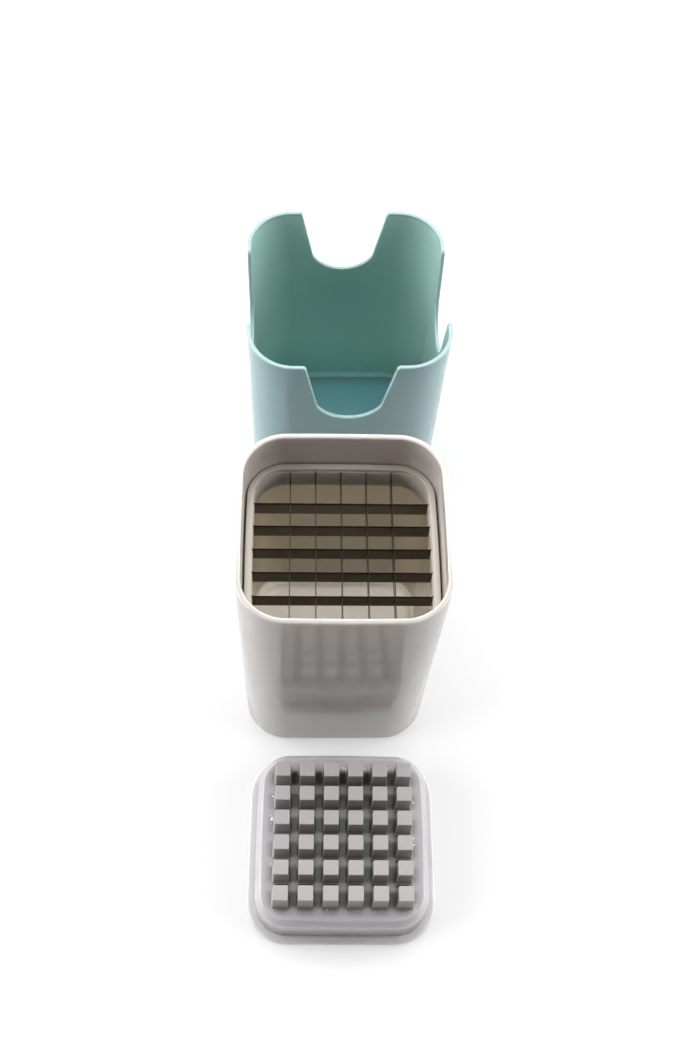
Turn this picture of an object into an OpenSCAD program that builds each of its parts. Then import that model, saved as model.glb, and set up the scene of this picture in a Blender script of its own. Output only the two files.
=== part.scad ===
// Push-through chip cutter for potatoes, standing as its three loose pieces.
// A base container carries a lift-out blade cassette below its mouth. A press hood slides
// down outside the base with the stud pusher in its closed end, and the studs drive the
// potato through the cells of the cassette, until the pusher's flange meets the base's rim.
// The pieces stand in a row along Y, with the base in the middle.
// Origin: middle of the base's underside. +Z is up, and -Y is the side of the pusher.

/* [Blade grid] */
// Distance from one blade to the next, and from one stud to the next
pitch = 12.5; // [12:0.25:12.75]
// Thickness of a blade strip
blade_t = 0.5; // [0.4:0.05:0.7]
// Height of a blade strip
blade_h = 10; // [8:0.5:11]
// Height of the ground edge along the top of each blade
edge_h = 1.2; // [0.6:0.1:2]
// Height of the cutting edges above the surface that the base stands on
blade_z = 135.5; // [130:0.5:137]

/* [Base container] */
// Width of the rim, outside, at the middle of its sides
base_rim_w = 100; // [99:0.5:100]
// Width of the foot, outside
base_foot_w = 98.5; // [97:0.5:99]
// Height of the rim
base_h = 160; // [158:1:170]
// Corner radius of the rim, outside
base_r = 22; // [20:0.5:24]
// Wall thickness
base_wall = 2.8; // [2.4:0.1:3]

/* [Blade cassette] */
// Width of the cassette, outside
ring_w = 92.6; // [92:0.1:92.8]
// Corner radius of the cassette, outside
ring_r = 17; // [15:0.5:18]
// Height of the clamp ring, which closes the cassette above the blades
clamp_h = 2.5; // [2:0.25:3.5]
// Height of the carrier ring, which is slotted for the blades
carrier_h = 12; // [11.5:0.25:14]
// Width of the opening through the carrier ring
carrier_mouth = 85.6; // [85:0.2:86]

/* [Press hood] */
// Width of the rim, outside, at the middle of its sides
hood_rim_w = 107.4; // [107:0.2:109]
// Width of the closed end, outside
hood_foot_w = 105.4; // [105.2:0.2:107]
// Height of the hood
hood_h = 150; // [140:1:152]
// Wall thickness
hood_wall = 2.2; // [2:0.1:2.2]
// Half width of a finger notch, at the rim
notch_half_w = 23.5; // [20:0.5:25]
// Depth of a finger notch
notch_depth = 45; // [40:1:50]

/* [Pusher] */
// Width of the flange
flange_w = 98.5; // [97:0.5:99]
// Thickness of the flange
flange_t = 2.5; // [2:0.25:3]
// Width of the raised plug, where it meets the flange
plug_w = 90.5; // [89:0.5:91]
// Height of the raised plug above the flange
plug_h = 21; // [19:0.5:21.5]
// Length of a stud
stud_h = 16; // [14:0.5:17]
// Side of a stud, at its tip
stud_w = 7.5; // [7:0.25:8]

/* [Where the loose pieces stand] */
// Middle of the hood, sideways from the base
hood_x = 4.5; // [-20:0.5:20]
// Middle of the hood, behind the base
hood_y = 149; // [120:1:200]
// Turn of the hood
hood_turn = 1.25; // [-3:0.25:3]
// Middle of the pusher, sideways from the base
pusher_x = 3; // [-20:1:20]
// Middle of the pusher, behind the base
pusher_y = -110; // [-160:1:-106]
// Turn of the pusher
pusher_turn = -0.75; // [-3:0.25:3]

/* [Hidden] */
// A cut starts and ends this far outside what it cuts.
over = 1;
// Steps in a quarter turn of a corner, and along half of a side
corner_steps = 14;
side_steps = 4;
// Each side bows outward by this much at its middle.
bow = 0.8;

// Blade grid
blade_count = 5;
stud_count = blade_count + 1;
edge_land = 0.1;
slack = 0.05;

// Base container
base_foot_r = base_r - 0.5;
base_edge = 1.6;
rim_edge = 0.7;
shelf_z = blade_z - carrier_h;
shelf_w = 3.2;
shelf_t = 2;
base_floor = 2.6;
floor_fillet = 4;

// Blade cassette
blade_len = ring_w - 3.4;
ring_edge = 0.5;
clamp_step = 0.4;
peg_r = 0.8;
peg_h = 3;
peg_slack = 0.1;

// Press hood
hood_r = 23;
hood_foot_r = 22;
hood_edge = 3;
hood_lip = 0.6;
hood_floor = 2.4;
seat_w = 3;
seat_h = 2;
nub_r = 1.6;
nub_out = 1.4;
nub_x = 19;
notch_low_half_w = 17;
notch_slant_h = 34;
notch_corner = 2;

// Pusher
flange_r = 20;
flange_edge = 0.6;
plug_r = 16;
plug_draft = 0.7;
bevel_w = 3;
bevel_edge = 0.8;
skin = 2.2;
stud_draft = 0.5;
core_w = 3.6;

// --- Rounded squares, and lofts through them -------------------------------------------

// Place of member i in a row of n that is centred on 0, one pitch apart
function in_row(i, n) = (i - (n - 1) / 2) * pitch;

// How far a side stands out at the distance u from its middle
function bowed(u, half) = bow * (1 - pow(u / half, 2));

// A quarter of the outline, from the middle of the +X side to the middle of the +Y side
function quarter(half, flat, r) = concat(
    [for (i = [0 : side_steps - 1]) let (u = flat * i / side_steps) [half + bowed(u, half), u]],
    [for (i = [0 : corner_steps])
        let (a = 90 * i / corner_steps, x = flat + r * cos(a), y = flat + r * sin(a))
        [x + bowed(y, half) * cos(a), y + bowed(x, half) * sin(a)]],
    [for (i = [side_steps - 1 : -1 : 1]) let (u = flat * i / side_steps) [u, half + bowed(u, half)]]
);

function turned(p, a) = [p.x * cos(a) - p.y * sin(a), p.x * sin(a) + p.y * cos(a)];

// Square with bowed sides and round corners, w wide at the middle of its sides
function outline(w, r) =
    let (half = w / 2 - bow, q = quarter(half, half - r, r))
    [for (a = [0 : 90 : 270], p = q) turned(p, a)];

// A level is [height, width, corner radius]. These levels round an edge about the middle
// level m, with radius e, from the angle a0 to a1, where 0 points out and 90 points up.
function rounded(m, e, a0, a1, steps = 3) = [
    for (i = [0 : steps])
        let (a = a0 + (a1 - a0) * i / steps)
        [m[0] + e * sin(a), m[1] + 2 * e * cos(a), m[2] + e * cos(a)]
];

// Skin through the levels, from the underside up, and for a cup over its rim and down
// inside. With ring = true the last level joins the first, which leaves a hole in the middle.
module loft(levels, ring = false) {
    rows = [for (v = levels) outline(v[1], v[2])];
    n = len(rows[0]);
    m = len(rows);
    points = [for (k = [0 : m - 1], p = rows[k]) [p.x, p.y, levels[k][0]]];
    sides = [
        for (k = [0 : m - (ring ? 1 : 2)], i = [0 : n - 1])
            let (j = (i + 1) % n, low = k * n, high = (k + 1) % m * n)
            each [[low + i, high + i, high + j], [low + i, high + j, low + j]]
    ];
    underside = [for (i = [0 : n - 1]) i];
    top = [for (i = [n - 1 : -1 : 0]) (m - 1) * n + i];
    polyhedron(points, ring ? sides : concat(sides, [underside, top]), convexity = 6);
}

// Repeats its children on the four sides
module four_sides() {
    for (a = [0 : 90 : 270]) rotate(a) children();
}

// --- Base container --------------------------------------------------------------------

// Outside width of the base at a height
function base_w(z) = base_foot_w + (base_rim_w - base_foot_w) * z / base_h;
function base_in(z) = base_w(z) - 2 * base_wall;

base_in_r = base_r - base_wall;
shelf_foot = shelf_z - shelf_t - shelf_w;

module base_container() {
    color("#d9d6d0") loft(concat(
        rounded([base_edge, base_w(0) - 2 * base_edge, base_foot_r - base_edge], base_edge, -90, 0),
        rounded([base_h - rim_edge, base_w(base_h) - 2 * rim_edge, base_r - rim_edge], rim_edge, 0, 90),
        rounded([base_h - rim_edge, base_in(base_h) + 2 * rim_edge, base_in_r + rim_edge],
            rim_edge, 90, 180),
        [
            [shelf_z, base_in(shelf_z), base_in_r],
            [shelf_z, base_in(shelf_z) - 2 * shelf_w, base_in_r - shelf_w],
            [shelf_z - shelf_t, base_in(shelf_z) - 2 * shelf_w, base_in_r - shelf_w],
            [shelf_foot, base_in(shelf_foot), base_in_r]
        ],
        rounded([base_floor + floor_fillet, base_in(0) - 2 * floor_fillet, base_in_r - floor_fillet],
            floor_fillet, 0, -90)
    ));
}

// --- Blade cassette --------------------------------------------------------------------

part_z = blade_z + slack;
mouth_r = ring_r - (ring_w - carrier_mouth) / 2;
peg_at = ring_w / 2 - bow - ring_r + (ring_r + mouth_r) / 2 * cos(45);

// Ring between two heights, as wide as the cassette, with round edges at its top if asked
module cassette_ring(z0, z1, mouth, round_top) {
    e = round_top ? ring_edge : 0.01;
    in_r = ring_r - (ring_w - mouth) / 2;
    loft(concat(
        [[z0, ring_w, ring_r]],
        rounded([z1 - e, ring_w - 2 * e, ring_r - e], e, 0, 90, 2),
        rounded([z1 - e, mouth + 2 * e, in_r + e], e, 90, 180, 2),
        [[z0, mouth, in_r]]
    ), ring = true);
}

module peg_places() {
    four_sides() translate([peg_at, peg_at, 0]) children();
}

// Lower ring: a slot for each blade, open at the top
module blade_carrier_ring() {
    slot = [ring_w - 3, blade_t + 2 * slack, blade_h + slack + over];
    color("#e9e7e2") difference() {
        cassette_ring(shelf_z, part_z, carrier_mouth, false);
        for (i = [0 : blade_count - 1]) {
            translate([0, in_row(i, blade_count), blade_z - blade_h + slot.z / 2])
                cube(slot, center = true);
            translate([in_row(i, blade_count), 0, blade_z - blade_h + slot.z / 2])
                rotate(90) cube(slot, center = true);
        }
        peg_places() translate([0, 0, part_z - peg_h - 0.5])
            cylinder(r = peg_r + peg_slack, h = peg_h + over, $fn = 24);
    }
}

// Upper ring: closes the slots, and pegs into the lower ring at its corners
module blade_clamp_ring() {
    color("#f2f0ec") union() {
        cassette_ring(part_z, part_z + clamp_h, carrier_mouth + 2 * clamp_step, true);
        peg_places() translate([0, 0, part_z - peg_h]) cylinder(r = peg_r, h = peg_h + over, $fn = 24);
    }
}

// Strip along X with its cutting edge at z = 0, ground on both sides
module strip() {
    half = blade_t / 2;
    rotate([90, 0, 90]) linear_extrude(blade_len, center = true) polygon([
        [-half, -blade_h], [half, -blade_h], [half, -edge_h],
        [edge_land / 2, 0], [-edge_land / 2, 0], [-half, -edge_h]
    ]);
}

// Half-lap slots where the other set of blades crosses, from z0 to z1
module laps(z0, z1) {
    for (i = [0 : blade_count - 1])
        translate([in_row(i, blade_count) - blade_t / 2 - slack, -over, z0])
            cube([blade_t + 2 * slack, 2 * over, z1 - z0]);
}

// Blade i across the cassette, lapped from below
module cross_blade(i) {
    color("#c9cacc") translate([0, in_row(i, blade_count), blade_z]) difference() {
        strip();
        laps(-blade_h - over, -blade_h / 2 + slack);
    }
}

// Blade i from front to back, lapped from above
module long_blade(i) {
    color("#c9cacc") translate([in_row(i, blade_count), 0, blade_z]) rotate(90) difference() {
        strip();
        laps(-blade_h / 2 - slack, over);
    }
}

// --- Press hood ------------------------------------------------------------------------

function hood_w(z) = hood_foot_w + (hood_rim_w - hood_foot_w) * z / hood_h;
function hood_in(z) = hood_w(z) - 2 * hood_wall;

seat_z = hood_floor + seat_h;

// Outline of a finger notch seen from the side: slanted flanks, then a round bottom
module notch_outline() {
    drop = notch_depth - notch_slant_h;
    r = (pow(notch_low_half_w, 2) + pow(drop, 2)) / (2 * drop);
    slant_z = hood_h - notch_slant_h;
    polygon([
        [-notch_low_half_w, slant_z], [notch_low_half_w, slant_z],
        [notch_half_w, hood_h], [notch_half_w, hood_h + over],
        [-notch_half_w, hood_h + over], [-notch_half_w, hood_h]
    ]);
    intersection() {
        translate([0, hood_h - notch_depth + r]) circle(r, $fn = 96);
        translate([-hood_h, slant_z - hood_h]) square([2 * hood_h, hood_h]);
    }
    // The corners between the flanks and the rim are rounded off.
    for (side = [-1, 1]) translate([side * notch_half_w, hood_h - notch_corner])
        difference() {
            translate([side > 0 ? -over : -notch_corner, 0])
                square([notch_corner + over, notch_corner + over]);
            translate([side * notch_corner, 0]) circle(notch_corner, $fn = 32);
        }
}

module press_hood() {
    color("#7fb3ac") translate([hood_x, hood_y, 0]) rotate(hood_turn) {
        difference() {
            loft(concat(
                rounded([hood_edge, hood_w(0) - 2 * hood_edge, hood_foot_r - hood_edge],
                    hood_edge, -90, 0),
                rounded([hood_h - hood_lip, hood_w(hood_h) - 2 * hood_lip, hood_r - hood_lip],
                    hood_lip, 0, 90),
                rounded([hood_h - hood_lip, hood_in(hood_h) + 2 * hood_lip,
                    hood_r - hood_wall + hood_lip], hood_lip, 90, 180),
                [
                    [seat_z, hood_in(seat_z), hood_foot_r - hood_wall],
                    [seat_z, hood_in(seat_z) - 2 * seat_w, hood_foot_r - hood_wall - seat_w],
                    [hood_floor, hood_in(seat_z) - 2 * seat_w, hood_foot_r - hood_wall - seat_w]
                ]
            ));
            for (a = [0, 90]) rotate(a) rotate([90, 0, 0])
                linear_extrude(2 * hood_w(hood_h), center = true) notch_outline();
        }
        // The flange of the pusher snaps under these.
        four_sides() translate([nub_x, hood_in(seat_z) / 2 + nub_r - nub_out, seat_z + flange_t + nub_r])
            sphere(nub_r, $fn = 24);
    }
}

// --- Pusher ----------------------------------------------------------------------------

plug_top = flange_t + plug_h;
plug_top_w = plug_w - 2 * plug_draft;

// Stud i, j: a square post that tapers to its tip
module stud(i, j) {
    base = stud_w + 2 * stud_draft;
    translate([in_row(i, stud_count), in_row(j, stud_count), plug_top - skin / 2])
        linear_extrude(stud_h + skin / 2, scale = stud_w / base) square(base, center = true);
}

// Hollow inside stud i, j, open to the underside of the plug
module core(i, j) {
    translate([in_row(i, stud_count), in_row(j, stud_count), plug_top - skin - over])
        linear_extrude(stud_h + over) square(core_w, center = true);
}

module pusher_plate() {
    color("#b9b8b9") translate([pusher_x, pusher_y, 0]) rotate(pusher_turn) difference() {
        union() {
            loft(concat(
                [
                    [plug_top - skin, plug_top_w - 2 * skin - 2 * bevel_w / 2, plug_r - skin - bevel_w / 2],
                    [0, plug_w - 2 * skin, plug_r - skin]
                ],
                rounded([flange_edge, flange_w - 2 * flange_edge, flange_r - flange_edge],
                    flange_edge, -90, 0, 2),
                rounded([flange_t - flange_edge, flange_w - 2 * flange_edge, flange_r - flange_edge],
                    flange_edge, 0, 90, 2),
                [[flange_t, plug_w, plug_r]],
                [[plug_top - bevel_w, plug_top_w, plug_r - plug_draft]],
                rounded([plug_top - bevel_edge, plug_top_w - 2 * bevel_w, plug_r - plug_draft - bevel_w],
                    bevel_edge, 45, 90, 2)
            ));
            for (i = [0 : stud_count - 1], j = [0 : stud_count - 1]) stud(i, j);
        }
        for (i = [0 : stud_count - 1], j = [0 : stud_count - 1]) core(i, j);
    }
}

base_container();
blade_carrier_ring();
blade_clamp_ring();
cross_blade(0);  // cross_blade_1
cross_blade(1);  // cross_blade_2
cross_blade(2);  // cross_blade_3
cross_blade(3);  // cross_blade_4
cross_blade(4);  // cross_blade_5
long_blade(0);  // long_blade_1
long_blade(1);  // long_blade_2
long_blade(2);  // long_blade_3
long_blade(3);  // long_blade_4
long_blade(4);  // long_blade_5
press_hood();
pusher_plate();
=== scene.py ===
"""Push-through chip cutter in its loose pieces: container with blade cassette, press hood, pusher.

Each operator makes one piece of the look around the CAD frame, and the stage. Sizes in the
property groups are in metres. Inside the builders, lengths are in millimetres, as MM says.
"""

import math
from collections import namedtuple

import bmesh
import bpy
from bpy.props import BoolProperty, FloatProperty, FloatVectorProperty, IntProperty, PointerProperty
from mathutils import Matrix


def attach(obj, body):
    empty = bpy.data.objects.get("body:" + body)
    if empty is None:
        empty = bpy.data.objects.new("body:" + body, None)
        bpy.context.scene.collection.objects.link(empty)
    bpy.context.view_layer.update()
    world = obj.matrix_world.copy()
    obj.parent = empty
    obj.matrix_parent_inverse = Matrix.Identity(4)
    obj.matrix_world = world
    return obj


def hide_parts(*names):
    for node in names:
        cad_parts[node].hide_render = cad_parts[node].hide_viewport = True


bl_info = {
    "name": "Chip Cutter",
    "version": (1, 0, 0),
    "blender": (4, 5, 0),
    "location": "View3D > Sidebar > Chip Cutter",
    "description": "Container, blade cassette, press hood and stud pusher of a potato chip cutter",
    "category": "Object",
}

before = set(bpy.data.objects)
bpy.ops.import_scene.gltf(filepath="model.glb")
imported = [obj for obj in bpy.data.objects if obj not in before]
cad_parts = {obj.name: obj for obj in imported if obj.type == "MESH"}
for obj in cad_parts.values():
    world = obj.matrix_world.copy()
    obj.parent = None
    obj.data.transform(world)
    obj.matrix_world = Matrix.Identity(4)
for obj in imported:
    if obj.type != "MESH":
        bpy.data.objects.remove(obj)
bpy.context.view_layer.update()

MM = 0.001
# How far the middle of each side stands out past its ends, in millimetres
BOW = 0.8
# Distance from stud to stud, which is also that from blade to blade, in millimetres
PITCH = 12.5
# Painted light or shade over a span of heights: heights in metres, and whether the colour keeps to the inside
# of a tube
Band = namedtuple("Band", "low high blur color inside")

# Camera: place in metres, and degrees of heading, of looking down, and of roll
CAMERA_AT = (-0.0208, -0.2587, 0.6316)
CAMERA_HEADING, CAMERA_DOWN, CAMERA_ROLL = -5.21, 61.18, 4.98


# --- Outlines and lofts ------------------------------------------------------------------


def bowed(u, half):
    """How far a side stands out at the distance u from its middle."""
    return BOW * (1 - (u / half) ** 2)


def plain_columns(side_steps, corner_steps):
    """Places round a quarter of the outline: along a side, round the corner, along the next."""
    first = [("side", i / side_steps) for i in range(side_steps)]
    corner = [("corner", 90 * i / corner_steps) for i in range(corner_steps + 1)]
    return first + corner + [("next", i / side_steps) for i in range(side_steps - 1, 0, -1)]


def place(column, half, r):
    """Point of the first quarter at a column, for the half width at a side's ends and corner radius r."""
    kind, value = column
    flat = half - r
    if kind == "side":
        return half + bowed(flat * value, half), flat * value
    if kind == "next":
        return flat * value, half + bowed(flat * value, half)
    a = math.radians(value)
    x, y = flat + r * math.cos(a), flat + r * math.sin(a)
    return x + bowed(y, half) * math.cos(a), y + bowed(x, half) * math.sin(a)


def ring_points(columns, levels):
    """Points round all four quarters. A level is (height, width, corner radius), one for each column."""
    points = []
    for turn in range(4):
        c, s = ((1, 0), (0, 1), (-1, 0), (0, -1))[turn]
        for column, (z, w, r) in zip(columns, levels):
            x, y = place(column, w / 2 - BOW, r)
            points.append(((x * c - y * s) * MM, (x * s + y * c) * MM, z * MM))
    return points


def rounded(z, w, r, e, a0, a1, steps=5):
    """Levels round an edge of radius e about a middle level. 0 degrees points out and 90 up."""
    out = []
    for i in range(steps + 1):
        a = math.radians(a0 + (a1 - a0) * i / steps)
        out.append((z + e * math.sin(a), w + 2 * e * math.cos(a), r + e * math.cos(a)))
    return out


def skin_mesh(name, rings, closed=False, sharp=32.0):
    """Mesh through rings of points, capped at both ends unless the last ring joins the first."""
    n = len(rings[0])
    points = [p for ring in rings for p in ring]
    faces = []
    for k in range(len(rings) if closed else len(rings) - 1):
        low, high = k * n, (k + 1) % len(rings) * n
        for i in range(n):
            j = (i + 1) % n
            faces.append((low + i, low + j, high + j, high + i))
    if not closed:
        faces.append(tuple(range(n - 1, -1, -1)))
        faces.append(tuple((len(rings) - 1) * n + i for i in range(n)))
    mesh = bpy.data.meshes.new(name)
    mesh.from_pydata(points, [], faces)
    finish_mesh(mesh, sharp)
    return mesh


def finish_mesh(mesh, sharp):
    """Normals outward, smooth shading, and edges sharper than the angle kept sharp."""
    bm = bmesh.new()
    bm.from_mesh(mesh)
    bmesh.ops.recalc_face_normals(bm, faces=bm.faces)
    bm.to_mesh(mesh)
    bm.free()
    for polygon in mesh.polygons:
        polygon.use_smooth = True
    mesh.set_sharp_from_angle(angle=math.radians(sharp))
    mesh.update()


def loft(name, levels, closed=False, side_steps=10, corner_steps=32, sharp=32.0):
    """Mesh through plain levels, the same all the way round."""
    columns = plain_columns(side_steps, corner_steps)
    return skin_mesh(name, [ring_points(columns, [v] * len(columns)) for v in levels], closed, sharp)


def add_object(name, mesh, material, body, nodes=()):
    """Puts a finished mesh in the scene as a piece that rides on a body."""
    obj = bpy.data.objects.new(name, mesh)
    bpy.context.scene.collection.objects.link(obj)
    mesh.materials.clear()
    mesh.materials.append(material)
    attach(obj, body)
    if nodes:
        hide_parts(*nodes)
    return obj


def stand(mesh, x, y, turn):
    """Moves a mesh's points to where its piece stands. x and y are in metres, turn in radians."""
    mesh.transform(Matrix.Translation((x, y, 0)) @ Matrix.Rotation(turn, 4, "Z"))
    mesh.update()


# --- Nodes -------------------------------------------------------------------------------


def feed(tree, socket, value):
    """Links another node's socket into an input, or sets the input to a plain value."""
    if isinstance(value, bpy.types.NodeSocket):
        tree.links.new(value, socket)
    else:
        socket.default_value = value


def maths(tree, operation, *values, clamp=False, kind="ShaderNodeMath"):
    """Adds a math node with sockets or numbers as its inputs, and returns its result."""
    node = tree.nodes.new(kind)
    node.operation = operation
    if clamp:
        node.use_clamp = True
    for socket, value in zip(node.inputs, values):
        feed(tree, socket, value)
    return node.outputs["Value"] if operation == "LENGTH" else node.outputs[0]


def vector_maths(tree, operation, *values):
    return maths(tree, operation, *values, kind="ShaderNodeVectorMath")


def ramp(tree, value, low, high, least=0.0, smooth=True):
    """Adds a rise from least to 1 as the value goes from low to high."""
    node = tree.nodes.new("ShaderNodeMapRange")
    node.interpolation_type = "SMOOTHSTEP" if smooth else "LINEAR"
    for name, given in (("Value", value), ("From Min", low), ("From Max", high), ("To Min", least)):
        feed(tree, node.inputs[name], given)
    return node.outputs[0]


def noise(tree, where, scale, detail):
    """Adds a noise pattern and returns its value."""
    node = tree.nodes.new("ShaderNodeTexNoise")
    for name, given in (("Vector", where), ("Scale", scale), ("Detail", detail)):
        feed(tree, node.inputs[name], given)
    return node.outputs["Fac"]


def blend(tree, share, first, second):
    """Adds a mix of two colours, all first at a share of 0 and all second at 1."""
    node = tree.nodes.new("ShaderNodeMix")
    node.data_type = "RGBA"
    for name, given in (("Factor", share), ("A", first), ("B", second)):
        feed(tree, node.inputs[name], given)
    return node.outputs["Result"]


def shader_group(name, inputs, outputs):
    """New shader group. Returns its tree, what it is given, and what it gives back."""
    tree = bpy.data.node_groups.new(name, "ShaderNodeTree")
    for label, kind, value in inputs:
        socket = tree.interface.new_socket(label, in_out="INPUT", socket_type="NodeSocket" + kind)
        if value is not None:
            socket.default_value = value
    for label, kind in outputs:
        tree.interface.new_socket(label, in_out="OUTPUT", socket_type="NodeSocket" + kind)
    return tree, tree.nodes.new("NodeGroupInput").outputs, tree.nodes.new("NodeGroupOutput").inputs


def group_node(tree, group, **values):
    """Adds a group's node, with its inputs set by name."""
    node = tree.nodes.new("ShaderNodeGroup")
    node.node_tree = group
    for name, value in values.items():
        feed(tree, node.inputs[name.replace("_", " ")], value)
    return node


def from_centre(tree, given):
    """A point as seen from a piece's own middle, with the piece's turn taken out."""
    node = tree.nodes.new("ShaderNodeVectorRotate")
    node.rotation_type = "Z_AXIS"
    node.invert = True
    feed(tree, node.inputs["Vector"], vector_maths(tree, "SUBTRACT", given["Vector"], given["Centre"]))
    feed(tree, node.inputs["Angle"], given["Turn"])
    return node.outputs[0]


def height_of(tree, where):
    """Height of a point."""
    xyz = tree.nodes.new("ShaderNodeSeparateXYZ")
    feed(tree, xyz.inputs[0], where)
    return xyz.outputs["Z"]


# --- Materials ---------------------------------------------------------------------------


def mottle_group():
    """Shader group: a base colour with soft lighter and darker patches, and a fine height."""
    tree = bpy.data.node_groups.get("Mottle")
    if tree:
        return tree
    tree, given, result = shader_group(
        "Mottle",
        (
            ("Vector", "Vector", None),
            ("Color", "Color", None),
            ("Patch Size", "Float", 60),
            ("Patch Amount", "Float", 0.05),
            ("Grain Size", "Float", 900),
        ),
        (("Color", "Color"), ("Height", "Float")),
    )
    patches = maths(tree, "SUBTRACT", noise(tree, given["Vector"], given["Patch Size"], 2), 0.5)
    scale = tree.nodes.new("ShaderNodeVectorMath")
    scale.operation = "SCALE"
    feed(tree, scale.inputs[0], given["Color"])
    feed(tree, scale.inputs["Scale"], maths(tree, "MULTIPLY_ADD", patches, given["Patch Amount"], 1.0))
    feed(tree, result["Color"], scale.outputs[0])
    feed(tree, result["Height"], noise(tree, given["Vector"], given["Grain Size"], 3))
    return tree


def band_group():
    """Shader group: 1 between two heights and 0 outside, with soft ends."""
    tree = bpy.data.node_groups.get("Height Band")
    if tree:
        return tree
    tree, given, result = shader_group(
        "Height Band",
        (("Vector", "Vector", None), ("Low", "Float", 0.0), ("High", "Float", 1.0), ("Blur", "Float", 0.002)),
        (("Mask", "Float"),),
    )
    height = height_of(tree, given["Vector"])
    above = []
    for edge in ("Low", "High"):
        start = maths(tree, "SUBTRACT", given[edge], given["Blur"])
        end = maths(tree, "ADD", given[edge], given["Blur"])
        above.append(ramp(tree, height, start, end))
    feed(tree, result["Mask"], maths(tree, "SUBTRACT", *above))
    return tree


def tube_group():
    """Shader group: 1 inside an upright tube with a rounded square outline and 0 outside it.

    Flat is half of a side's straight part, and Radius the corners' radius."""
    tree = bpy.data.node_groups.get("Tube")
    if tree:
        return tree
    tree, given, result = shader_group(
        "Tube",
        (
            ("Vector", "Vector", None),
            ("Centre", "Vector", None),
            ("Turn", "Float", 0.0),
            ("Flat", "Float", 0.027),
            ("Radius", "Float", 0.0207),
            ("Blur", "Float", 0.0002),
        ),
        (("Mask", "Float"),),
    )
    flat = tree.nodes.new("ShaderNodeCombineXYZ")
    for axis in ("X", "Y"):
        feed(tree, flat.inputs[axis], given["Flat"])
    level = vector_maths(tree, "MULTIPLY", from_centre(tree, given), (1, 1, 0))
    beyond = vector_maths(tree, "SUBTRACT", vector_maths(tree, "ABSOLUTE", level), flat.outputs[0])
    reach = vector_maths(tree, "LENGTH", vector_maths(tree, "MAXIMUM", beyond, (0, 0, 0)))
    left = maths(tree, "SUBTRACT", given["Radius"], reach)
    feed(tree, result["Mask"], maths(tree, "DIVIDE", left, given["Blur"], clamp=True))
    return tree


def beside_studs_group():
    """Shader group: 1 beside the studs of a square grid, and less where the gaps between them cross."""
    tree = bpy.data.node_groups.get("Beside Studs")
    if tree:
        return tree
    tree, given, result = shader_group(
        "Beside Studs",
        (
            ("Vector", "Vector", None),
            ("Centre", "Vector", None),
            ("Turn", "Float", 0.0),
            ("Pitch", "Float", 0.0125),
        ),
        (("Mask", "Float"),),
    )
    xyz = tree.nodes.new("ShaderNodeSeparateXYZ")
    feed(tree, xyz.inputs[0], from_centre(tree, given))
    half = maths(tree, "MULTIPLY", given["Pitch"], 0.5)
    across = [maths(tree, "DIVIDE", maths(tree, "PINGPONG", xyz.outputs[a], half), half) for a in ("X", "Y")]
    most = maths(tree, "MAXIMUM", *across)
    feed(tree, result["Mask"], ramp(tree, most, 0.15, 0.6, least=0.35))
    return tree


def new_material(name):
    """New material. Returns it with its tree, its shader and the Object coordinates."""
    material = bpy.data.materials.new(name)
    material.use_nodes = True
    tree = material.node_tree
    return material, tree, tree.nodes["Principled BSDF"], object_coordinates(tree)


def object_coordinates(tree):
    return tree.nodes.new("ShaderNodeTexCoord").outputs["Object"]


def mask(tree, group, where, **values):
    return group_node(tree, group, Vector=where, **values).outputs["Mask"]


def plastic(
    name, color, roughness, patch, coat=0.0, bands=(), tube=None, studs=None, through=None, ripple=0.0
):
    """Moulded plastic with soft patches.

    Each band colours a span of heights. An inside band keeps to the tube and, where studs are
    given, shows most beside them. Tube and studs hold the inputs of their groups. through is the
    weight, tint and depth in metres of the light let in, and ripple the height of an unevenness."""
    material, tree, shader, where = new_material(name)
    paint = color
    # Every band in this script is painted light or painted shade, a colour standing in for light or shade on
    # that span
    for band in bands:
        share = mask(tree, band_group(), where, Low=band.low, High=band.high, Blur=band.blur)
        if band.inside:
            share = maths(tree, "MULTIPLY", share, mask(tree, tube_group(), where, **tube))
        if band.inside and studs:
            share = maths(tree, "MULTIPLY", share, mask(tree, beside_studs_group(), where, **studs))
        paint = blend(tree, share, paint, band.color)
    mottle = group_node(
        tree, mottle_group(), Vector=where, Color=paint, Patch_Size=40.0, Patch_Amount=patch, Grain_Size=110.0
    )
    feed(tree, shader.inputs["Base Color"], mottle.outputs["Color"])
    shader.inputs["Roughness"].default_value = roughness
    shader.inputs["Coat Weight"].default_value = coat
    shader.inputs["Coat Roughness"].default_value = 0.06
    if through:
        for label, value in zip(("Weight", "Radius", "Scale"), through):
            shader.inputs["Subsurface " + label].default_value = value
    if ripple:
        bump = tree.nodes.new("ShaderNodeBump")
        bump.inputs["Strength"].default_value = 1.0
        bump.inputs["Distance"].default_value = ripple
        feed(tree, bump.inputs["Height"], mottle.outputs["Height"])
        feed(tree, shader.inputs["Normal"], bump.outputs["Normal"])
    return material


def add_painted_glints(material, plate_z, **grid):
    """Small painted white glints on the plate round the stud grid, standing in for highlights at the stud
    feet.
    """
    tree = material.node_tree
    shader = tree.nodes["Principled BSDF"]
    where = object_coordinates(tree)
    share = ramp(tree, noise(tree, where, 900.0, 1.0), 0.60, 0.66, smooth=False)
    clusters = ramp(tree, noise(tree, where, 130.0, 2.0), 0.52, 0.62, smooth=False)
    near = mask(tree, tube_group(), where, Radius=0.0036, Blur=0.0015, **grid)
    among = mask(tree, tube_group(), where, Radius=0.0011, Blur=0.0002, **grid)
    top = mask(tree, band_group(), where, Low=plate_z, High=0.05, Blur=0.0003)
    for part in (clusters, near, maths(tree, "SUBTRACT", 1.0, among), top):
        share = maths(tree, "MULTIPLY", share, part)
    plain = shader.inputs["Base Color"].links[0].from_socket
    feed(tree, shader.inputs["Base Color"], blend(tree, share, plain, (0.9, 0.9, 0.9, 1)))


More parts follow.
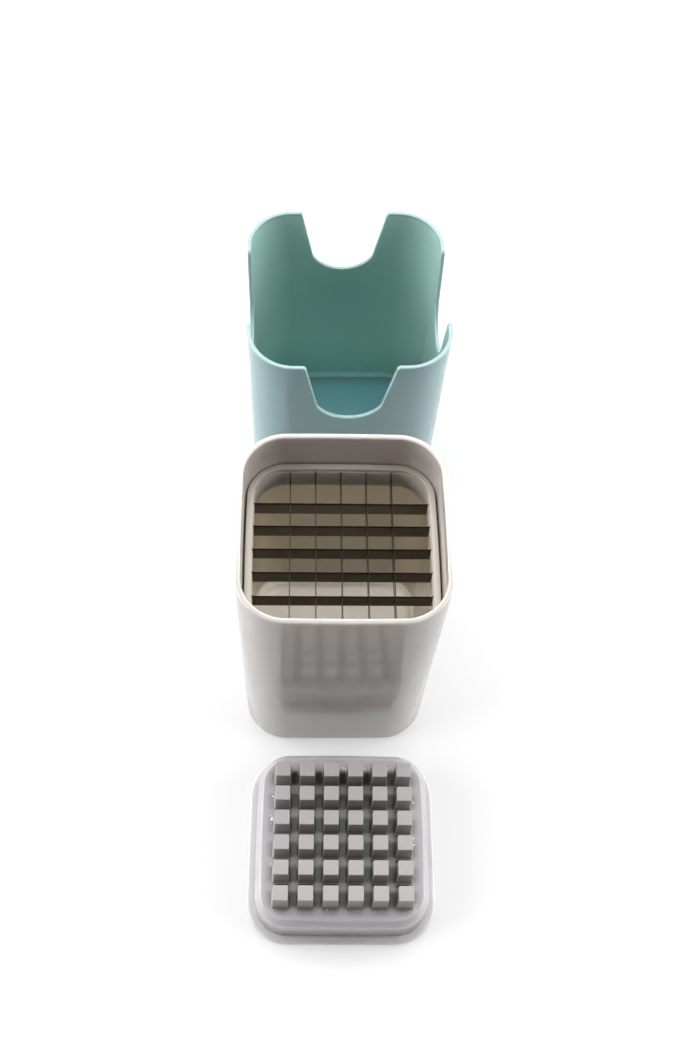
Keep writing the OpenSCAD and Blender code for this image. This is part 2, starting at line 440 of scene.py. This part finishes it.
def steel(name, color, edge_shade, edge_z):
    """Stainless strip in the given colour, with its ground edge above the height edge_z painted in a darker
    colour, as painted shade.
    """
    material, tree, shader, where = new_material(name)
    edge = ramp(tree, height_of(tree, where), edge_z - 0.0002, edge_z + 0.0002)
    feed(tree, shader.inputs["Base Color"], blend(tree, edge, color, edge_shade))
    shader.inputs["Metallic"].default_value = 1.0
    shader.inputs["Roughness"].default_value = 0.28
    return material


# --- Settings ----------------------------------------------------------------------------


class ChipCutterContainer(bpy.types.PropertyGroup):
    rim_w: FloatProperty(
        name="Rim width", description="Outside width of the rim", default=0.1, unit="LENGTH"
    )
    foot_w: FloatProperty(
        name="Foot width", description="Outside width of the foot", default=0.0985, unit="LENGTH"
    )
    height: FloatProperty(name="Height", description="Height of the rim", default=0.16, unit="LENGTH")
    rim_r: FloatProperty(
        name="Corner radius", description="Corner radius of the rim", default=0.022, unit="LENGTH"
    )
    wall: FloatProperty(name="Wall", description="Wall thickness", default=0.0028, unit="LENGTH")
    shelf_z: FloatProperty(
        name="Shelf height",
        description="Height of the shelf under the cassette",
        default=0.1235,
        unit="LENGTH",
    )
    color: FloatVectorProperty(
        name="Colour",
        description="Colour of the plastic",
        subtype="COLOR",
        size=3,
        default=(0.36, 0.34, 0.325),
    )


class ChipCutterCassette(bpy.types.PropertyGroup):
    width: FloatProperty(
        name="Width", description="Outside width of the rings", default=0.0926, unit="LENGTH"
    )
    mouth: FloatProperty(
        name="Mouth", description="Opening through the clamp ring", default=0.0864, unit="LENGTH"
    )
    corner_r: FloatProperty(
        name="Corner radius", description="Outside corner radius", default=0.017, unit="LENGTH"
    )
    bottom: FloatProperty(
        name="Underside", description="Height of its underside", default=0.13555, unit="LENGTH"
    )
    top: FloatProperty(name="Top", description="Height of its top", default=0.13805, unit="LENGTH")
    # Above this height the blades are painted darker, as painted shade on the ground edge
    edge_z: FloatProperty(
        name="Ground edge",
        description="Height where a blade's ground edge starts",
        default=0.1343,
        unit="LENGTH",
    )


class ChipCutterHood(bpy.types.PropertyGroup):
    rim_w: FloatProperty(
        name="Rim width", description="Outside width of the rim", default=0.1074, unit="LENGTH"
    )
    foot_w: FloatProperty(
        name="Closed end", description="Width of the closed end", default=0.1054, unit="LENGTH"
    )
    height: FloatProperty(name="Height", description="Height of the rim", default=0.15, unit="LENGTH")
    wall: FloatProperty(name="Wall", description="Wall thickness", default=0.0022, unit="LENGTH")
    notch_w: FloatProperty(
        name="Notch width", description="Width of a notch at the rim", default=0.047, unit="LENGTH"
    )
    notch_depth: FloatProperty(
        name="Notch depth", description="Depth of a notch", default=0.045, unit="LENGTH"
    )
    place_x: FloatProperty(
        name="Sideways", description="Middle of the hood, sideways", default=0.0045, unit="LENGTH"
    )
    place_y: FloatProperty(
        name="Back", description="Middle of the hood, towards the back", default=0.149, unit="LENGTH"
    )
    turn: FloatProperty(
        name="Turn", description="Turn of the hood", default=math.radians(1.25), unit="ROTATION"
    )


class ChipCutterPusher(bpy.types.PropertyGroup):
    flange_w: FloatProperty(name="Flange", description="Width of the flange", default=0.0985, unit="LENGTH")
    plug_w: FloatProperty(
        name="Plug", description="Width of the plug at the flange", default=0.0905, unit="LENGTH"
    )
    plug_h: FloatProperty(
        name="Plug height", description="Height above the flange", default=0.021, unit="LENGTH"
    )
    studs: IntProperty(name="Studs", description="Studs in a row", default=6, min=2, max=12)
    stud_h: FloatProperty(name="Stud length", description="Length of a stud", default=0.016, unit="LENGTH")
    stud_tip: FloatProperty(
        name="Stud tip", description="Side of a stud at its tip", default=0.0075, unit="LENGTH"
    )
    stud_foot: FloatProperty(
        name="Stud foot", description="Side of a stud at its foot", default=0.0085, unit="LENGTH"
    )
    place_x: FloatProperty(
        name="Sideways", description="Middle of the pusher, sideways", default=0.003, unit="LENGTH"
    )
    place_y: FloatProperty(
        name="Front", description="Middle of the pusher, towards the front", default=-0.11, unit="LENGTH"
    )
    turn: FloatProperty(
        name="Turn", description="Turn of the pusher", default=math.radians(-0.75), unit="ROTATION"
    )


class ChipCutterStage(bpy.types.PropertyGroup):
    floor_size: FloatProperty(name="Floor", description="Side of the floor", default=8.0, unit="LENGTH")
    lens: FloatProperty(
        name="Lens", description="Focal length for a 36 mm frame", default=40.08, unit="CAMERA"
    )
    soft_edges: BoolProperty(name="Side lights", description="Bright panels at both sides", default=True)


# --- Container ---------------------------------------------------------------------------


class CHIPCUTTER_OT_container(bpy.types.Operator):
    """Container: outer wall, rim, inner wall with the cassette's shelf, and floor"""

    bl_idname = "chip_cutter.container"
    bl_label = "Container"

    def execute(self, context):
        p = context.scene.chip_container
        rim, foot, h, r, t = (v / MM for v in (p.rim_w, p.foot_w, p.height, p.rim_r, p.wall))
        shelf = p.shelf_z / MM
        if shelf > h - 10:
            self.report({"ERROR"}, "the shelf is too near the rim")
            raise ValueError("the shelf is too near the rim")

        def wide(z):
            return foot + (rim - foot) * z / h

        edge, lip, step, thick, soft, fillet, floor = 1.6, 0.7, 3.2, 2.0, 0.4, 4.0, 2.6
        under = shelf - thick - step
        levels = rounded(edge, wide(0) - 2 * edge, r - 0.5 - edge, edge, -90, 0)
        levels += rounded(h - lip, wide(h) - 2 * lip, r - lip, lip, 0, 90)
        levels += rounded(h - lip, wide(h) - 2 * t + 2 * lip, r - t + lip, lip, 90, 180)
        inner = wide(shelf) - 2 * t
        nose = inner - 2 * step + 2 * soft
        levels += [(shelf + 0.3, inner, r - t), (shelf, inner - 0.6, r - t - 0.3)]
        levels += rounded(shelf - soft, nose, r - t - step + soft, soft, 90, 180, 3)
        levels += rounded(shelf - thick + soft, nose, r - t - step + soft, soft, 180, 225, 2)
        levels += [(under, wide(under) - 2 * t, r - t)]
        levels += rounded(floor + fillet, wide(0) - 2 * t - 2 * fillet, r - t - fillet, fillet, 0, -90, 8)
        mesh = loft("container", levels)
        material = plastic(
            "Container plastic", (*p.color, 1), roughness=0.1, patch=0.06,
            tube={"Centre": (0, 0, 0), "Flat": 0.027, "Radius": 0.0207},
            through=(1.0, (1.0, 0.94, 0.86), 0.006),
            bands=(
                # Painted light: the inside below the shelf is paler and warmer, standing in for light let
                # through the walls
                Band(0.001, 0.124, 0.0005, (0.56, 0.525, 0.46, 1), True),
                # Painted light: the inner floor and lowest inside wall paler still, standing in for the
                # table's light coming up through the floor
                Band(-1.0, 0.014, 0.003, (0.92, 0.88, 0.84, 1), True),
            ),
        )
        material.node_tree.nodes["Principled BSDF"].inputs["Specular IOR Level"].default_value = 0.7
        add_object("container", mesh, material, "base", ("base_container",))
        return {"FINISHED"}


# --- Blade cassette ----------------------------------------------------------------------


class CHIPCUTTER_OT_cassette(bpy.types.Operator):
    """Cassette: clamp ring above the blades, and the finish of the carrier ring and blades, whose colour
    holds painted shade
    """

    bl_idname = "chip_cutter.cassette"
    bl_label = "Blade cassette"

    def execute(self, context):
        p = context.scene.chip_cassette
        w, mouth, r, z0, z1 = (v / MM for v in (p.width, p.mouth, p.corner_r, p.bottom, p.top))
        if mouth >= w:
            self.report({"ERROR"}, "the mouth is wider than the ring")
            raise ValueError("the mouth is wider than the ring")
        edge = 0.5
        inner = r - (w - mouth) / 2
        levels = [(z0, w, r)]
        levels += rounded(z1 - edge, w - 2 * edge, r - edge, edge, 0, 90, 4)
        levels += rounded(z1 - edge, mouth + 2 * edge, inner + edge, edge, 90, 180, 4)
        levels += [(z0, mouth, inner)]
        mesh = loft("clamp_ring", levels, closed=True)
        ring = plastic("Cassette plastic", (0.41, 0.375, 0.33, 1), roughness=0.35, patch=0.08, coat=0.1)
        add_object("clamp_ring", mesh, ring, "cassette", ("blade_clamp_ring",))
        # Painted reflection: the blade colour is stainless darkened to dark brown, standing in for the dark
        # surroundings it reflects; the edge colour is painted shade on the ground edge
        blades = steel("Blade steel", (0.105, 0.088, 0.066, 1), (0.045, 0.037, 0.028, 1), p.edge_z)
        for name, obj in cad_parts.items():
            if "blade_carrier" in name:
                obj.data.materials.clear()
                obj.data.materials.append(ring)
            elif "_blade_" in name:
                obj.data.materials.clear()
                obj.data.materials.append(blades)
        return {"FINISHED"}


# --- Press hood --------------------------------------------------------------------------


def hood_edge_line(height, flat, notch_w, notch_depth, arc_length):
    """The rim and notch in a quarter of the unrolled wall: (along, up, outward along, outward up)."""
    slant, low_half = 34.0, 17.0
    drop = notch_depth - slant
    r = (low_half**2 + drop**2) / (2 * drop)
    middle = height - notch_depth + r
    line = []
    end = math.asin(low_half / r)
    for i in range(15):
        a = end * i / 14
        line.append((r * math.sin(a), middle - r * math.cos(a), -math.sin(a), math.cos(a)))
    half, e = notch_w / 2, 2.0
    lean = math.atan2(half - low_half, slant)
    nx, nz = -math.cos(lean), math.sin(lean)
    cx = half + (e - e * nz) / -nx
    tip = (cx + e * nx, height - e + e * nz)
    for i in range(1, 12):
        f = i / 12
        up = height - slant + (tip[1] - height + slant) * f
        line.append((low_half + (tip[0] - low_half) * f, up, nx, nz))
    start = math.degrees(math.atan2(nz, nx))
    for i in range(7):
        a = math.radians(start + (90 - start) * i / 6)
        line.append((cx + e * math.cos(a), height - e + e * math.sin(a), math.cos(a), math.sin(a)))
    for i in range(1, 4):
        line.append((cx + (flat - cx) * i / 3, height, 0, 1))
    round_corner = [(flat + arc_length * i / 30, height, 0, 1) for i in range(1, 30)]
    total = 2 * flat + arc_length
    return line + round_corner + [(total - q, z, -a, b) for q, z, a, b in reversed(line[1:])]


class CHIPCUTTER_OT_hood(bpy.types.Operator):
    """Press hood: drafted wall with four finger notches, ledge for the pusher, and snap nubs"""

    bl_idname = "chip_cutter.hood"
    bl_label = "Press hood"

    def execute(self, context):
        p = context.scene.chip_hood
        rim, foot, h, t = (v / MM for v in (p.rim_w, p.foot_w, p.height, p.wall))
        if p.notch_depth >= p.height:
            self.report({"ERROR"}, "the notch is deeper than the hood")
            raise ValueError("the notch is deeper than the hood")
        rim_r, foot_r, edge = 23.0, 22.0, 3.0
        flat = rim / 2 - BOW - rim_r
        arc_length = math.radians(90) * rim_r

        def level(z, off):
            f = z / h
            return z, foot + (rim - foot) * f - 2 * off, foot_r + (rim_r - foot_r) * f - off

        half_line = hood_edge_line(h, flat, p.notch_w / MM, p.notch_depth / MM, arc_length)

        def column(q):
            if q <= flat:
                return "side", q / flat
            if q <= flat + arc_length:
                return "corner", 90 * (q - flat) / arc_length
            return "next", (2 * flat + arc_length - q) / flat

        e = 0.6
        anchors = [(q - a * e, z - b * e, a, b) for q, z, a, b in half_line]
        columns = [column(a[0]) for a in anchors]

        def plain(v):
            return ring_points(columns, [v] * len(columns))

        rings = [plain(v) for v in rounded(edge, foot - 2 * edge, foot_r - edge, edge, -90, 0, 8)]
        low, steps = 60.0, 6
        rings.append(plain(level(low, 0)))
        rows = [i / steps for i in range(1, steps)]
        for f in rows:
            rings.append(ring_points(columns, [level(low + (a[1] - low) * f, 0) for a in anchors]))
        rim_first = len(rings)
        for start, way in ((e, -1), (t - e, 1)):
            for i in range(6):
                phi = math.pi / 2 * (i / 5 if way < 0 else 1 - i / 5)
                rise, off = e * math.sin(phi), start + way * e * math.cos(phi)
                cols = [column(min(max(q + a * rise, 0), 2 * flat + arc_length)) for q, z, a, b in anchors]
                rings.append(ring_points(cols, [level(z + b * rise, off) for q, z, a, b in anchors]))
        rim_points = range(rim_first * len(rings[0]), len(rings) * len(rings[0]))
        for f in reversed(rows):
            rings.append(ring_points(columns, [level(low + (a[1] - low) * f, t) for a in anchors]))
        seat, floor, step, soft = 4.4, 2.4, 3.0, 0.3
        ledge_r = foot_r - t - step
        inner = foot - 2 * t
        rings += [plain(level(low, t)), plain((seat + soft, inner, foot_r - t))]
        arc = rounded(seat + soft, inner - 2 * soft, foot_r - t - soft, soft, 0, -90, 3)
        rings += [plain(v) for v in arc]
        ledge = inner - 2 * step
        arc = rounded(seat - soft, ledge + 2 * soft, ledge_r + soft, soft, 90, 180, 3)
        rings += [plain(v) for v in arc]
        rings += [plain((floor, ledge, ledge_r))]
        mesh = skin_mesh("hood", rings)
        self.add_nubs(mesh, inner / 2, seat)
        stand(mesh, p.place_x, p.place_y, p.turn)
        material = plastic(
            "Hood plastic", (0.205, 0.31, 0.32, 1), roughness=0.13, patch=0.05,
            tube={
                "Centre": (p.place_x, p.place_y, 0), "Turn": p.turn,
                "Flat": 0.030, "Radius": 0.0216, "Blur": 0.0001,
            },
            through=(1.0, (0.6, 1.0, 1.0), 0.0035),
            bands=(
                # Painted light: the inside is greener and paler than the outside, standing in for light let
                # through the walls
                Band(0.003, 0.1485, 0.0005, (0.28, 0.42, 0.385, 1), True),
                # Painted light: the lower inside paler, fading upwards, standing in for the table's light
                # coming up into the hood
                Band(-0.03, 0.06, 0.035, (0.41, 0.53, 0.49, 1), True),
                # Painted highlight: a pale strip on the ledge for the pusher, standing in for light on its
                # upward face
                Band(0.0040, 0.0048, 0.0002, (0.50, 0.68, 0.70, 1), True),
                # Painted light: the inside floor pale blue, standing in for the table's light coming up
                # through it
                Band(-1.0, 0.0030, 0.0004, (0.33, 0.52, 0.55, 1), True),
            ),
        )
        # Painted light: the rim's faces get their own paler material, standing in for the top light the rim
        # catches
        rim_highlight = plastic(
            "Hood rim painted highlight", (0.265, 0.355, 0.36, 1), roughness=0.2, patch=0.05,
            through=(1.0, (0.8, 1.0, 1.0), 0.002),
        )
        add_object("hood", mesh, material, "hood", ("press_hood",))
        mesh.materials.append(rim_highlight)
        for polygon in mesh.polygons:
            if all(v in rim_points for v in polygon.vertices):
                polygon.material_index = 1
        return {"FINISHED"}

    @staticmethod
    def add_nubs(mesh, wall, seat):
        """Round snap nubs inside, one on each side wall, off its middle."""
        bm = bmesh.new()
        bm.from_mesh(mesh)
        r, out, aside, above = 1.6, 1.4, 19.0, 2.5
        for turn in range(4):
            at = Matrix.Rotation(math.radians(90 * turn), 4, "Z") @ Matrix.Translation(
                (aside * MM, (wall + r - out) * MM, (seat + above + r) * MM)
            )
            bmesh.ops.create_uvsphere(bm, u_segments=24, v_segments=14, radius=r * MM, matrix=at)
        for face in bm.faces:
            face.smooth = True
        bm.to_mesh(mesh)
        bm.free()
        mesh.update()


# --- Pusher ------------------------------------------------------------------------------


def stud_tree():
    """Geometry Nodes tree: a square grid of studs with filleted feet and rounded tips."""
    tree = bpy.data.node_groups.new("Stud Grid", "GeometryNodeTree")
    face = tree.interface
    face.new_socket("Geometry", in_out="INPUT", socket_type="NodeSocketGeometry")
    for name, kind, value in (
        ("Studs", "NodeSocketInt", 6),
        ("Pitch", "NodeSocketFloat", 0.0125),
        ("Tip", "NodeSocketFloat", 0.0075),
        ("Foot", "NodeSocketFloat", 0.0085),
        ("Length", "NodeSocketFloat", 0.016),
        ("Base Height", "NodeSocketFloat", 0.0235),
        ("Corner Radius", "NodeSocketFloat", 0.0006),
        ("Edge Radius", "NodeSocketFloat", 0.0004),
        ("Fillet", "NodeSocketFloat", 0.0007),
    ):
        face.new_socket(name, in_out="INPUT", socket_type=kind).default_value = value
    face.new_socket("Material", in_out="INPUT", socket_type="NodeSocketMaterial")
    face.new_socket("Geometry", in_out="OUTPUT", socket_type="NodeSocketGeometry")
    nodes, links = tree.nodes, tree.links
    given, result = nodes.new("NodeGroupInput"), nodes.new("NodeGroupOutput")

    size = given.outputs
    # Points along a stud, and the shares of them at which its shaft starts and ends
    steps, foot_share, tip_share = 24, 0.35, 0.65

    def quarter_turn(value, whole):
        """An angle that goes through a quarter turn as the value goes from 0 to whole."""
        return maths(tree, "MULTIPLY", maths(tree, "DIVIDE", value, whole, clamp=True), math.pi / 2)

    def left_of(radius, operation, angle):
        """What is left of a radius when its cosine or sine is taken off."""
        taken = maths(tree, "SUBTRACT", 1.0, maths(tree, operation, angle))
        return maths(tree, "MULTIPLY", size[radius], taken)

    index = nodes.new("GeometryNodeInputIndex").outputs[0]
    share = maths(tree, "DIVIDE", index, steps - 1)
    foot_turn = quarter_turn(share, foot_share)
    past_foot = maths(tree, "SUBTRACT", share, foot_share)
    shaft = maths(tree, "DIVIDE", past_foot, tip_share - foot_share, clamp=True)
    past_shaft = maths(tree, "SUBTRACT", share, tip_share)
    tip_turn = quarter_turn(past_shaft, 1 - tip_share)
    rounds = maths(tree, "ADD", size["Edge Radius"], size["Fillet"])
    straight = maths(tree, "SUBTRACT", size["Length"], rounds)
    foot_z = left_of("Fillet", "COSINE", foot_turn)
    tip_z = maths(tree, "MULTIPLY", size["Edge Radius"], maths(tree, "SINE", tip_turn))
    z = maths(tree, "ADD", maths(tree, "ADD", foot_z, maths(tree, "MULTIPLY", straight, shaft)), tip_z)
    half_foot = maths(tree, "MULTIPLY", size["Foot"], 0.5)
    half_tip = maths(tree, "MULTIPLY", size["Tip"], 0.5)
    slope = maths(tree, "SUBTRACT", half_tip, half_foot)
    draft = maths(tree, "MULTIPLY", slope, maths(tree, "DIVIDE", z, size["Length"]))
    side = maths(tree, "ADD", half_foot, draft)
    flare = left_of("Fillet", "SINE", foot_turn)
    turn_in = left_of("Edge Radius", "COSINE", tip_turn)
    half = maths(tree, "SUBTRACT", maths(tree, "ADD", side, flare), turn_in)
    sink = maths(tree, "MULTIPLY", maths(tree, "LESS_THAN", index, 0.5), -0.0004)

    column = nodes.new("GeometryNodeMeshLine")
    column.inputs["Count"].default_value = steps
    column.inputs["Offset"].default_value = (0, 0, 0.0005)
    lift = nodes.new("ShaderNodeCombineXYZ")
    links.new(maths(tree, "ADD", z, sink), lift.inputs["Z"])
    moved = nodes.new("GeometryNodeSetPosition")
    links.new(column.outputs["Mesh"], moved.inputs["Geometry"])
    links.new(lift.outputs[0], moved.inputs["Position"])
    path = nodes.new("GeometryNodeMeshToCurve")
    links.new(moved.outputs[0], path.inputs["Mesh"])
    profile = nodes.new("GeometryNodeCurvePrimitiveQuadrilateral")
    links.new(size["Tip"], profile.inputs["Width"])
    links.new(size["Tip"], profile.inputs["Height"])
    corners = nodes.new("GeometryNodeFilletCurve")
    corners.mode = "POLY"
    corners.inputs["Count"].default_value = 5
    links.new(profile.outputs[0], corners.inputs["Curve"])
    links.new(size["Corner Radius"], corners.inputs["Radius"])
    post = nodes.new("GeometryNodeCurveToMesh")
    post.inputs["Fill Caps"].default_value = True
    links.new(path.outputs[0], post.inputs["Curve"])
    links.new(corners.outputs[0], post.inputs["Profile Curve"])
    links.new(maths(tree, "DIVIDE", half, half_tip), post.inputs["Scale"])
    gaps = maths(tree, "SUBTRACT", size["Studs"], 1.0)
    reach = maths(tree, "MULTIPLY", size["Pitch"], gaps)
    grid = nodes.new("GeometryNodeMeshGrid")
    for name in ("Size X", "Size Y"):
        links.new(reach, grid.inputs[name])
    for name in ("Vertices X", "Vertices Y"):
        links.new(given.outputs["Studs"], grid.inputs[name])
    raised = nodes.new("GeometryNodeSetPosition")
    up = nodes.new("ShaderNodeCombineXYZ")
    links.new(given.outputs["Base Height"], up.inputs["Z"])
    links.new(grid.outputs["Mesh"], raised.inputs["Geometry"])
    links.new(up.outputs[0], raised.inputs["Offset"])
    copies = nodes.new("GeometryNodeInstanceOnPoints")
    links.new(raised.outputs[0], copies.inputs["Points"])
    links.new(post.outputs[0], copies.inputs["Instance"])
    real = nodes.new("GeometryNodeRealizeInstances")
    links.new(copies.outputs[0], real.inputs[0])
    painted = nodes.new("GeometryNodeSetMaterial")
    links.new(real.outputs[0], painted.inputs["Geometry"])
    links.new(given.outputs["Material"], painted.inputs["Material"])
    links.new(painted.outputs[0], result.inputs["Geometry"])
    return tree


def grown(name, tree, **values):
    """Plain mesh that a Geometry Nodes tree makes, with its inputs set by name."""
    seed = bpy.data.objects.new(name + "_seed", bpy.data.meshes.new(name + "_seed"))
    bpy.context.scene.collection.objects.link(seed)
    modifier = seed.modifiers.new("Grow", "NODES")
    modifier.node_group = tree
    sockets = {s.name: s.identifier for s in tree.interface.items_tree if s.in_out == "INPUT"}
    for key, value in values.items():
        modifier[sockets[key.replace("_", " ")]] = value
    depsgraph = bpy.context.evaluated_depsgraph_get()
    mesh = bpy.data.meshes.new_from_object(seed.evaluated_get(depsgraph))
    mesh.name = name
    seed.modifiers.clear()
    old = seed.data
    bpy.data.objects.remove(seed)
    bpy.data.meshes.remove(old)
    return mesh


class CHIPCUTTER_OT_pusher(bpy.types.Operator):
    """Pusher: hollow plug on a flange, and its grid of square studs"""

    bl_idname = "chip_cutter.pusher"
    bl_label = "Pusher"

    def execute(self, context):
        p = context.scene.chip_pusher
        flange, plug, high = p.flange_w / MM, p.plug_w / MM, p.plug_h / MM
        thick, draft, bevel, skin, r = 2.5, 0.7, 3.0, 2.2, 16.0
        flange_r, edge, shoulder, crest, inset, cove = 20.0, 0.6, 0.5, 0.8, 0.1, 0.25
        top, top_w = thick + high, plug - 2 * draft
        if PITCH * (p.studs - 1) > plug - 10:
            self.report({"ERROR"}, "the studs don't fit on the plug")
            raise ValueError("the studs don't fit on the plug")
        levels = [(top - skin, top_w - 2 * skin - bevel, r - skin - bevel / 2)]
        levels += [(0, plug - 2 * skin, r - skin)]
        levels += rounded(edge, flange - 2 * edge, flange_r - edge, edge, -90, 0, 3)
        levels += rounded(thick - edge, flange - 2 * edge, flange_r - edge, edge, 0, 90, 3)
        levels += [(thick, plug + 2 * cove, r + cove), (thick + cove, plug, r)]
        wide, round_r = top_w - 2 * shoulder, r - draft - shoulder
        levels += rounded(top - bevel - shoulder, wide, round_r, shoulder, 0, 45, 2)
        wide, round_r = top_w - 2 * (bevel + inset), r - draft - bevel - inset
        levels += rounded(top - crest, wide, round_r, crest, 45, 90, 4)
        mesh = loft("pusher", levels, sharp=38.0)
        stand(mesh, p.place_x, p.place_y, p.turn)
        stands = {"Centre": (p.place_x, p.place_y, 0), "Turn": p.turn}
        grey = plastic(
            "Pusher plastic", (0.355, 0.34, 0.35, 1), roughness=0.22, patch=0.2, coat=0.3,
            tube={**stands, "Flat": 0.030, "Radius": 0.010, "Blur": 0.007},
            studs={**stands, "Pitch": PITCH * MM},
            through=(1.0, (1.0, 0.97, 1.0), 0.004), ripple=0.00012,
            bands=(
                # Painted light: the top bevel and upper plug wall paler, standing in for light on the bevel
                Band(0.0190, 0.0233, 0.0003, (0.42, 0.40, 0.41, 1), False),
                # Painted light: the flange paler, standing in for the table's light coming through it
                Band(-1.0, 0.0028, 0.0003, (0.47, 0.45, 0.46, 1), False),
                # Painted shade: the plate top between the studs nearly black, darkest beside the studs,
                # standing in for the shade they cast
                Band(0.0225, 1.0, 0.0003, (0.045, 0.04, 0.037, 1), True),
            ),
        )
        # Painted highlights: small white specks round the stud grid stand in for glints at the stud feet
        add_painted_glints(grey, 0.0225, Flat=0.0345, **stands)
        matt = plastic(
            "Stud plastic", (0.275, 0.26, 0.26, 1), roughness=0.45, patch=0.05,
            # Painted shade: the studs darker towards their feet, standing in for the shade between them
            bands=(Band(0.0, 0.0255, 0.0055, (0.21, 0.195, 0.19, 1), False),),
        )
        add_object("pusher", mesh, grey, "pusher", ("pusher_plate",))
        studs = grown(
            "studs", stud_tree(), Studs=p.studs, Pitch=PITCH * MM, Tip=p.stud_tip, Foot=p.stud_foot,
            Length=p.stud_h, Base_Height=top * MM, Material=matt,
        )
        if not studs.polygons:
            raise RuntimeError("the stud grid came out empty")
        finish_mesh(studs, 32.0)
        stand(studs, p.place_x, p.place_y, p.turn)
        add_object("studs", studs, matt, "pusher")
        return {"FINISHED"}


# --- Stage -------------------------------------------------------------------------------


def panel(name, at, aim, size, power):
    """Soft rectangular light at a point, aimed at another."""
    light = bpy.data.lights.new(name, "AREA")
    light.shape = "RECTANGLE"
    light.size, light.size_y = size
    light.energy = power
    obj = bpy.data.objects.new(name, light)
    bpy.context.scene.collection.objects.link(obj)
    obj.matrix_world = Matrix.Translation(at) @ look(at, aim)
    return obj


def glow(name, x, y, side, power):
    """Light that comes up into a translucent piece from the bright table just under it."""
    obj = panel(name, (x, y, -0.0002), (x, y, 1), (side, side), power)
    obj.visible_camera = obj.visible_glossy = False
    return obj


def look(at, aim):
    """Rotation that points -Z from at to aim."""
    x, y, z = (a - b for a, b in zip(at, aim))
    length = math.sqrt(x * x + y * y + z * z)
    tilt = math.acos(z / length)
    return Matrix.Rotation(math.atan2(x, -y), 4, "Z") @ Matrix.Rotation(tilt, 4, "X")


class CHIPCUTTER_OT_stage(bpy.types.Operator):
    """Stage: pale floor, soft studio light and camera"""

    bl_idname = "chip_cutter.stage"
    bl_label = "Stage"

    def execute(self, context):
        p = context.scene.chip_stage
        scene = context.scene
        s, low = p.floor_size / 2, -0.0004
        mesh = bpy.data.meshes.new("floor")
        mesh.from_pydata([(-s, -s, low), (s, -s, low), (s, s, low), (-s, s, low)], [], [(0, 1, 2, 3)])
        white = bpy.data.materials.new("Floor white")
        white.use_nodes = True
        shader = white.node_tree.nodes["Principled BSDF"]
        shader.inputs["Base Color"].default_value = (0.44, 0.44, 0.445, 1)
        shader.inputs["Emission Color"].default_value = (1, 1, 1, 1)
        shader.inputs["Emission Strength"].default_value = 0.32
        shader.inputs["Roughness"].default_value = 0.9
        shader.inputs["Specular IOR Level"].default_value = 0.1
        mesh.materials.append(white)
        floor = bpy.data.objects.new("floor", mesh)
        scene.collection.objects.link(floor)

        world = bpy.data.worlds.new("Studio")
        world.use_nodes = True
        world.node_tree.nodes["Background"].inputs["Color"].default_value = (1.0, 1.0, 1.0, 1)
        world.node_tree.nodes["Background"].inputs["Strength"].default_value = 0.06
        scene.world = world
        panel("back light", (0, 1.5, 1.5), (0, 0, 0), (2.6, 1.6), 41)
        panel("top light", (0, 0.55, 1.6), (0, 0, 0), (2.4, 1.4), 19)
        if p.soft_edges:
            panel("left light", (-1.3, 0.15, 0.75), (0, 0, 0.05), (1.5, 1.2), 38)
            panel("right light", (1.3, 0.15, 0.75), (0, 0, 0.05), (1.5, 1.2), 31)

        hood, pusher = scene.chip_hood, scene.chip_pusher
        glow("table glow container", 0, 0, 0.088, 0.019)
        glow("table glow hood", hood.place_x, hood.place_y, 0.086, 0.045)
        glow("table glow pusher", pusher.place_x, pusher.place_y, 0.080, 0.06)

        camera = bpy.data.cameras.new("camera")
        camera.lens = p.lens
        camera.sensor_width = 36
        camera.clip_start = 0.01
        view = bpy.data.objects.new("camera", camera)
        scene.collection.objects.link(view)
        view.matrix_world = (
            Matrix.Translation(CAMERA_AT)
            @ Matrix.Rotation(math.radians(CAMERA_HEADING), 4, "Z")
            @ Matrix.Rotation(math.radians(90 - CAMERA_DOWN), 4, "X")
            @ Matrix.Rotation(math.radians(CAMERA_ROLL), 4, "Z")
        )
        scene.camera = view
        scene.view_settings.view_transform = "Standard"
        return {"FINISHED"}


class CHIPCUTTER_PT_panel(bpy.types.Panel):
    bl_label = "Chip Cutter"
    bl_idname = "CHIPCUTTER_PT_panel"
    bl_space_type = "VIEW_3D"
    bl_region_type = "UI"
    bl_category = "Chip Cutter"

    def draw(self, context):
        for name, operator in SETTINGS.items():
            box = self.layout.box()
            settings = getattr(context.scene, name)
            for key in type(settings).__annotations__:
                box.prop(settings, key)
            box.operator(operator.bl_idname)


SETTINGS = {
    "chip_container": CHIPCUTTER_OT_container,
    "chip_cassette": CHIPCUTTER_OT_cassette,
    "chip_hood": CHIPCUTTER_OT_hood,
    "chip_pusher": CHIPCUTTER_OT_pusher,
    "chip_stage": CHIPCUTTER_OT_stage,
}
GROUPS = {
    "chip_container": ChipCutterContainer,
    "chip_cassette": ChipCutterCassette,
    "chip_hood": ChipCutterHood,
    "chip_pusher": ChipCutterPusher,
    "chip_stage": ChipCutterStage,
}


def register():
    for cls in (*GROUPS.values(), *SETTINGS.values(), CHIPCUTTER_PT_panel):
        bpy.utils.register_class(cls)
    for name, group in GROUPS.items():
        setattr(bpy.types.Scene, name, PointerProperty(type=group))


def unregister():
    for name in GROUPS:
        delattr(bpy.types.Scene, name)
    for cls in (CHIPCUTTER_PT_panel, *SETTINGS.values(), *GROUPS.values()):
        bpy.utils.unregister_class(cls)


def main():
    register()
    for operator in SETTINGS.values():
        category, name = operator.bl_idname.split(".")
        getattr(getattr(bpy.ops, category), name)()


if __name__ == "__main__":
    main()
